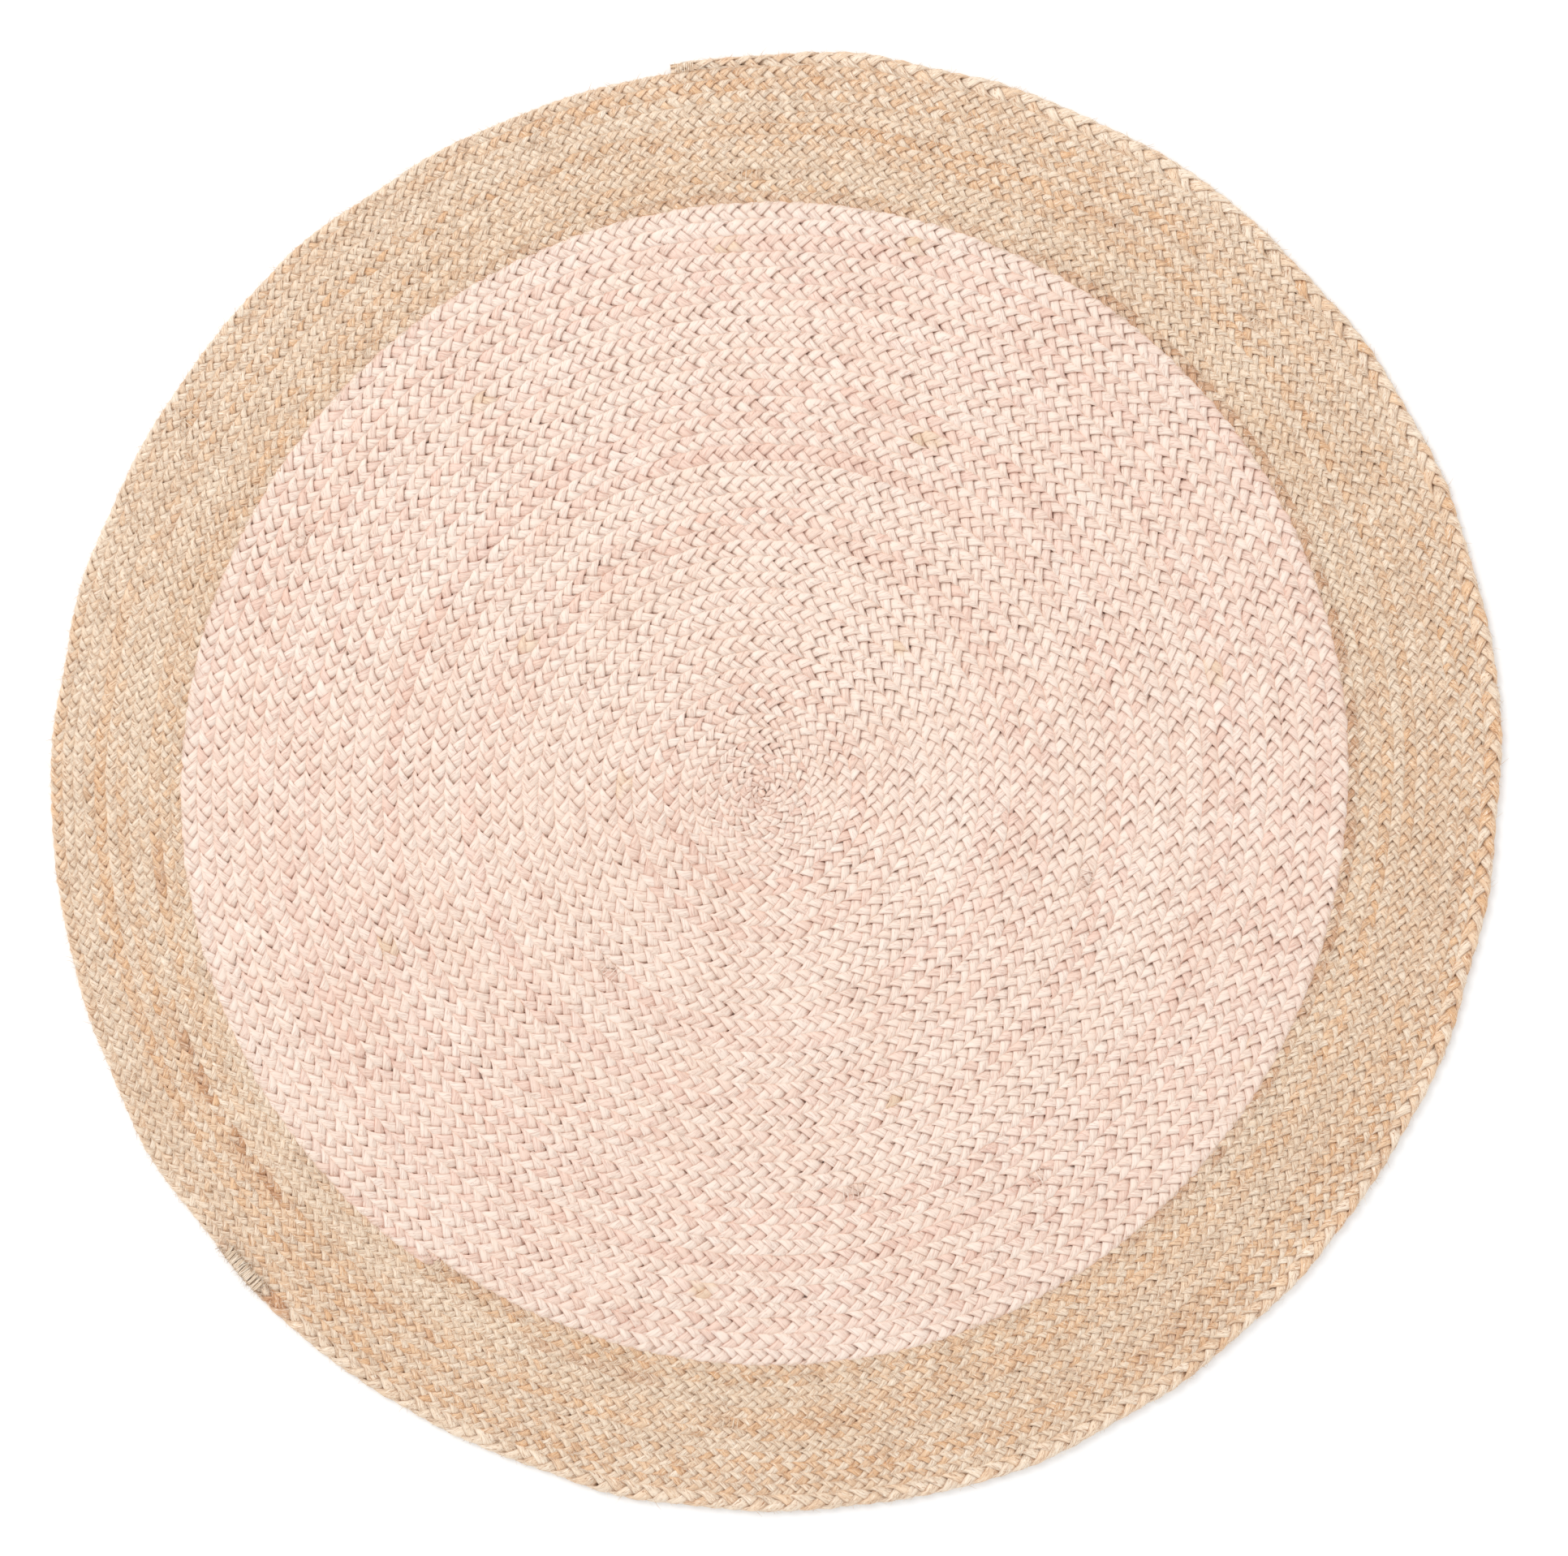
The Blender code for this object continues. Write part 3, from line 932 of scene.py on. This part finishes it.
@dataclass
class Wrapping:
    """Thread or bast wound round a plait."""

    name: str
    coil: Coil
    middle: float
    winding: Winding
    seed: int
    per_turn: int = 28
    squareness: float = 0.55
    sides: int = 6
    # The hand's unevenness, as shares of the thread's width and of the binding's, and a distance.
    width_unevenness: float = 0.2
    spread_unevenness: float = 0.06
    lift_unevenness: float = 0.3 * MM
    tone_spread: float = 0.3

    def build(self) -> bpy.types.Object:
        """Wind the thread.

        Returns:
            The wrapping as one mesh object.
        """
        coil = self.coil
        winding, rng = self.winding, np.random.default_rng([self.seed, 50])
        centre = np.interp(self.middle, coil.fine, coil.distance)
        turn = np.linspace(0.0, winding.turns * TURN, int(winding.turns * self.per_turn))
        distance = centre + winding.length * (turn / turn[-1] - 0.5) + winding.stray * wander(rng, turn, 2.2)
        station = np.interp(np.minimum(distance, coil.distance[-1] - MM), coil.distance, coil.fine)
        c, s = (squared(x, self.squareness) for x in (np.cos(turn), np.sin(turn)))
        thick = winding.thread_thickness / 2 * np.ones_like(turn)
        wide = winding.thread_width / 2 * (1 + self.width_unevenness * wander(rng, turn, 3.0))
        half = coil.read((coil.outer - coil.inner + coil.seam) / 2, station) * winding.spread
        half = half * (1 + self.spread_unevenness * wander(rng, turn, 2.0))
        deep = coil.read(coil.thickness, station) + winding.lift
        deep = deep + self.lift_unevenness * wander(rng, turn, 1.6)
        height = thick + deep * (0.5 + 0.5 * s)
        centres = coil.points(station, half * c, height)
        outward = coil.points(station, half * c + MM, height) - centres
        outward /= np.linalg.norm(outward, axis=1)[:, None]
        face = outward * c[:, None] + np.array([0.0, 0.0, 1.0]) * s[:, None]
        rings = sweep(centres, face, thick, wide, self.sides)
        rings[..., 2] = np.maximum(rings[..., 2], 0.0)
        tubes = Tubes(self.sides)
        tubes.add(
            rings, 1.5 * (winding.thread_width + winding.thread_thickness),
            tone=0.5 + self.tone_spread * wander(rng, turn, 2.5), tint=0.0 * turn, bare=0.0 * turn,
        )
        return tubes.make(self.name)


@dataclass
class EyeStitch:
    """A knot and loops of thread that draw the eye of the coil shut."""

    name: str
    node: str
    loops: int = 4
    thread: float = 0.5 * MM
    knot: float = 3.6 * MM

    def build(self) -> bpy.types.Object:
        """Model the loops as rings of thread and join them.

        Returns:
            The stitch as one mesh object, at the origin.
        """
        low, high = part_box(self.node)
        middle = [(a + b) / 2 for a, b in zip(low, high)]
        tall = (high[2] - low[2]) / 2
        bpy.ops.mesh.primitive_uv_sphere_add(segments=24, ring_count=14, radius=self.knot, location=middle)
        bpy.context.object.scale = (1.0, 1.0, 0.85 * tall / self.knot)
        bpy.ops.object.shade_smooth()
        made = [bpy.context.object]
        for i in range(self.loops):
            bpy.ops.mesh.primitive_torus_add(
                location=middle, rotation=(math.pi / 2, 0.0, math.pi * (i + 0.3) / self.loops),
                major_radius=tall - self.thread, minor_radius=self.thread,
                major_segments=28, minor_segments=8,
            )
            loop = bpy.context.object
            loop.scale = (0.8, 1.0, 1.0)
            bpy.ops.object.shade_smooth()
            made.append(loop)
        for loop in made:
            loop.select_set(True)
        bpy.context.view_layer.objects.active = made[0]
        bpy.ops.object.join()
        bpy.ops.object.transform_apply(location=True, rotation=True, scale=True)
        stitch = bpy.context.object
        stitch.name = self.name
        bpy.ops.object.select_all(action="DESELECT")
        return stitch


class Growth(Enum):
    """Where loose fibres stand."""

    OVER = "over the rows"
    RIM = "out of the rim"


@dataclass
class LooseFibres:
    """Short stray fibres that stand out of the strands and cross the grooves between the rows."""

    name: str
    coil: Coil
    start: float
    end: float
    count: int
    seed: int
    growth: Growth = Growth.OVER
    length: tuple[float, float] = (4.0 * MM, 10.0 * MM)
    thickness: float = 0.34 * MM
    slant: float = math.radians(42.0)
    slant_spread: float = 0.3
    bend: float = 0.12
    taper: tuple[float, float, float] = (1.0, 0.9, 0.35)
    sides: int = 3
    # Over the rows: how far above the strands the fibres start, and how far they arch up from there.
    clearance: float = 0.45 * MM
    rise: float = 0.7 * MM
    # Out of the rim: their own arch, and how much shorter they are.
    rim_rise: float = 0.3 * MM
    rim_length_share: float = 0.55
    lowest: float = 0.3 * MM
    tones: tuple[float, ...] = (-0.2, 0.3, 0.9, 1.0)

    def build(self) -> bpy.types.Object:
        """Scatter the fibres.

        Returns:
            The fibres as one mesh object, each a closed three-sided tube that thins to its tip.
        """
        coil = self.coil
        rng = np.random.default_rng([self.seed, 70])
        ends = np.interp((self.start, self.end), coil.fine, coil.distance)
        n = self.count
        distance = rng.uniform(*ends, n)
        size = rng.uniform(*self.length, n)
        lean = rng.normal(self.slant, self.slant_spread, n) * rng.choice([-1.0, 1.0], n)
        away = rng.choice([-1.0, 1.0], n)
        station = np.interp(distance, coil.distance, coil.fine)
        half = coil.read((coil.outer - coil.inner + coil.seam) / 2, station)
        deep = coil.read(coil.thickness, station)
        if self.growth is Growth.RIM:
            root = half * rng.uniform(0.6, 0.95, n)
            level = deep * rng.uniform(0.3, 0.9, n)
            side, rise, droop = np.abs(np.sin(lean)), self.rim_rise, rng.uniform(-0.8, 0.8, n) * MM
            size *= self.rim_length_share
        else:
            root = half * rng.uniform(0.15, 0.9, n) * away
            level = deep + self.clearance
            side, rise, droop = np.sin(np.abs(lean)) * away, self.rise, rng.uniform(-0.2, 1.1, n) * MM
        bend = rng.normal(0.0, self.bend, n) * size
        spots = []
        for share, lift in ((0.0, 0.0), (0.5, rise * rng.uniform(0.4, 1.4, n)), (1.0, droop)):
            arch = bend * 4 * share * (1 - share)
            there = distance + share * size * np.cos(lean) * np.sign(lean) + arch
            spot = np.interp(np.clip(there, *ends), coil.distance, coil.fine)
            spots.append(coil.points(spot, root + share * size * side, np.maximum(level + lift, self.lowest)))
        spots = np.stack(spots, axis=1)
        way = spots[:, 2] - spots[:, 0]
        way /= np.linalg.norm(way, axis=1)[:, None]
        beside = np.cross(way, [0.0, 0.0, 1.0])
        beside /= np.linalg.norm(beside, axis=1)[:, None]
        above = np.cross(beside, way)
        corner = TURN * (np.arange(self.sides) + 0.25) / self.sides
        section = beside[:, None] * np.cos(corner)[:, None] - above[:, None] * np.sin(corner)[:, None]
        taper = self.thickness / 2 * np.array(self.taper)
        rings = spots[:, :, None] + section[:, None] * taper[:, None, None]
        tubes, none = Tubes(self.sides), np.zeros(len(self.taper))
        for fibre, tone in zip(rings, rng.choice(self.tones, n)):
            tubes.add(fibre, 3 * self.thickness, tone=none + tone, tint=none, bare=none)
        return tubes.make(self.name)


@dataclass
class Studio:
    """The floor, the soft light and the camera straight above the rug."""

    width_seen: float = 1.303
    look_at: tuple[float, float] = (0.0064, 0.0037)
    lens: float = 100.0
    sensor: float = 36.0
    floor_size: float = 14.0
    sky_strength: float = 0.95
    key_energy: float = 130.0
    key_angle: float = math.radians(140.0)
    key_height: float = 4.6
    key_reach: float = 4.4
    key_size: float = 3.0
    floor_gap: float = 0.2 * MM

    def build(self) -> None:
        """Lay the floor, hang the lamp, light the sky and set the camera."""
        bpy.ops.object.select_all(action="DESELECT")
        bpy.ops.mesh.primitive_plane_add(size=self.floor_size, location=(0.0, 0.0, -self.floor_gap))
        floor = bpy.context.object
        floor.name = "studio_floor"
        floor.data.materials.append(PaintedFloor().material())
        spot = (self.key_reach * math.cos(self.key_angle), self.key_reach * math.sin(self.key_angle))
        bpy.ops.object.light_add(type="AREA", location=(*spot, self.key_height))
        lamp = bpy.context.object
        lamp.name = "soft_key"
        lamp.data.energy = self.key_energy
        lamp.data.size = self.key_size
        tilt = math.atan2(self.key_reach, self.key_height)
        lamp.rotation_euler = (0.0, tilt, self.key_angle)
        world = bpy.data.worlds.new("soft_sky")
        world.use_nodes = True
        sky = world.node_tree.nodes["Background"]
        sky.inputs["Color"].default_value = (1.0, 1.0, 1.0, 1.0)
        sky.inputs["Strength"].default_value = self.sky_strength
        bpy.context.scene.world = world
        bpy.context.scene.view_settings.view_transform = "Standard"
        distance = self.width_seen * self.lens / self.sensor
        bpy.ops.object.camera_add(location=(*self.look_at, distance), rotation=(0.0, 0.0, 0.0))
        camera = bpy.context.object
        camera.data.lens = self.lens
        camera.data.sensor_width = self.sensor
        camera.data.clip_end = 100.0
        bpy.context.scene.camera = camera


def binding_station(coil: Coil, node: str) -> float:
    """The station at the middle of a binding's CAD node."""
    low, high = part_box(node)
    return coil.station_near((low[0] + high[0]) / 2, (low[1] + high[1]) / 2)


# Where dyed strands run out and bare jute shows in the field, as angle in degrees, radius and length.
UNDYED = (
    Patch(75.0, 0.461, 0.034), Patch(96.0, 0.443, 0.030), Patch(67.0, 0.305, 0.034),
    Patch(128.0, 0.402, 0.022), Patch(152.0, 0.233, 0.026), Patch(14.0, 0.377, 0.022),
    Patch(330.0, 0.452, 0.026), Patch(291.0, 0.274, 0.024), Patch(262.0, 0.421, 0.022),
    Patch(203.0, 0.351, 0.026), Patch(181.0, 0.128, 0.020), Patch(48.0, 0.152, 0.022),
)
# Where strands with bark left on them make a browner run in the border. The first three are in the row beside
# the field, which is warmer for much of its way round.
BARKY = (
    Patch(8.0, 0.4784, 1.300, 0.85), Patch(100.0, 0.4818, 0.500, 0.55), Patch(205.0, 0.4856, 0.900, 0.60),
    Patch(212.0, 0.537, 0.240), Patch(236.0, 0.546, 0.100, 0.7), Patch(188.0, 0.513, 0.060, 0.6),
    Patch(226.5, 0.596, 0.030), Patch(220.5, 0.596, 0.022, 0.8), Patch(305.0, 0.560, 0.070, 0.5),
    Patch(12.0, 0.497, 0.110, 0.5), Patch(350.0, 0.575, 0.080, 0.5), Patch(158.0, 0.552, 0.050, 0.5),
    Patch(252.0, 0.509, 0.160, 0.6), Patch(58.0, 0.541, 0.060, 0.4), Patch(117.0, 0.589, 0.040, 0.5),
)


@dataclass
class Rug:
    """The whole rug: plaits, bindings, thread and loose fibres, each tied to the record's nodes."""

    coil: Coil
    finishes: dict[str, bpy.types.Material]
    # In stations: how far a plait's end stands back from its join, how far back the straw lies, and how far
    # its fray reaches.
    parting: float = 0.0005
    straw_back: float = 0.11
    fray_reach: float = 0.24

    def __post_init__(self) -> None:
        """Find where the plaits are joined."""
        self.joins = joins = {
            node: binding_station(self.coil, node)
            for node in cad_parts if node.endswith("binding") or "_binding_" in node
        }
        change = joins["field_border_binding"]
        self.field_ends = [0.0, *(joins[f"field_binding_{i}"] for i in range(1, 6)), change]
        self.border_ends = [change, *(joins[f"border_binding_{i}"] for i in range(1, 5)), joins["edge_binding"]]

    def dress(self, made: bpy.types.Object, finish: str, slot: str, *nodes: str) -> None:
        """Give a piece its finish and tie it to the frame.

        Args:
            made: The piece.
            finish: Which of the rug's finishes it has.
            slot: The record's slot; not used.
            *nodes: The CAD nodes it stands for.
        """
        made.data.materials.clear()
        made.data.materials.append(self.finishes[finish])
        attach(made, "root")
        if nodes:
            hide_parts(*nodes)
        LOG.info("%s: %d faces", made.name, len(made.data.polygons))

    def build_plaits(self) -> None:
        """Plait every length."""
        lengths = [
            (f"{part}_plait_{i}", *span, fibre)
            for part, fibre, ends in (
                ("field", Fibre.BLUSH, self.field_ends), ("border", Fibre.NATURAL, self.border_ends),
            )
            for i, span in enumerate(zip(ends, ends[1:]), 1)
        ]
        lengths.append(("edge_plait", self.border_ends[-1], self.coil.tail_end, Fibre.NATURAL))
        for seed, (node, start, end, fibre) in enumerate(lengths):
            patches = UNDYED if fibre is Fibre.BLUSH else BARKY
            start, end = start + self.parting, end - self.parting
            plait = Plait(node + "_strands", self.coil, start, end, seed, patches)
            self.dress(plait.build(), fibre.value, fibre.value, node)

    def build_bindings(self) -> None:
        """Bind every join and the tail."""
        for seed, (node, station) in enumerate(self.joins.items()):
            if node == "edge_binding":
                # The straw reaches further back over the border's last plait than over the edge plait.
                winding, slot, station = STRAW_WINDING, "straw_binding", station - self.straw_back
            elif node == "tail_binding":
                winding, slot = TAIL_WINDING, "sewing_thread"
            else:
                fibre = Fibre.BLUSH if node.startswith("field_binding") else Fibre.NATURAL
                winding, slot = JOIN_WINDING, fibre.value
            wraps = Wrapping(node + "_wraps", self.coil, station, winding, seed)
            self.dress(wraps.build(), slot, slot, node)
            if node == "edge_binding":
                start, end = station - self.fray_reach, station + self.fray_reach
                fray = LooseFibres(
                    "edge_binding_fray", self.coil, start, end, 200, seed, length=(3.0 * MM, 8.0 * MM),
                    slant=math.radians(60.0),
                )
                self.dress(fray.build(), "loose_straw", slot)

    def build_thread(self) -> None:
        """Close the eye, and dress the sewing thread that lies in the seams."""
        stitch = EyeStitch("eye_stitch_loops", "eye_stitch").build()
        self.dress(stitch, "blush_thread", "sewing_thread", "eye_stitch")
        for node in ("field_thread", "border_thread"):
            for place in bpy.data.objects[node].material_slots:
                place.material = self.finishes["sewing_thread"]
                LOG.info("%s: dressed as %s", node, place.material.name)

    def build_fibres(self) -> None:
        """Scatter the loose fibres."""
        coil, change = self.coil, self.field_ends[-1]
        past_eye, tail_end, turn = 20.0, coil.tail_end, coil.per_turn
        for fibres in (
            LooseFibres("field_fibres", coil, past_eye, change, count=3000, seed=1),
            LooseFibres("first_row_fibres", coil, change, change + turn, count=1200, seed=2),
            LooseFibres("border_fibres", coil, change, tail_end, count=10800, seed=3),
            LooseFibres("rim_fibres", coil, tail_end - turn, tail_end, count=1400, seed=4, growth=Growth.RIM),
        ):
            blush = fibres.name == "field_fibres"
            slot = Fibre.BLUSH if blush else Fibre.NATURAL
            self.dress(fibres.build(), "loose_blush" if blush else "loose_jute", slot.value)


def main() -> None:
    """Build the rug's pieces in order and dress them."""
    logging.basicConfig(level=logging.INFO, format="%(name)s: %(message)s")
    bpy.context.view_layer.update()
    bpy.ops.object.select_all(action="DESELECT")
    Studio().build()
    finishes = {
        "blush_jute": BLUSH_JUTE.material(), "natural_jute": NATURAL_JUTE.material(),
        "straw_binding": STRAW_BAST.material(), "sewing_thread": SEWING_THREAD.material(),
        "blush_thread": BLUSH_THREAD.material(), "loose_blush": LOOSE_BLUSH.material(),
        "loose_jute": LOOSE_JUTE.material(), "loose_straw": LOOSE_STRAW.material(),
    }
    rug = Rug(Coil(), finishes)
    rug.build_plaits()
    rug.build_bindings()
    rug.build_thread()
    rug.build_fibres()


if __name__ == "__main__":
    main()
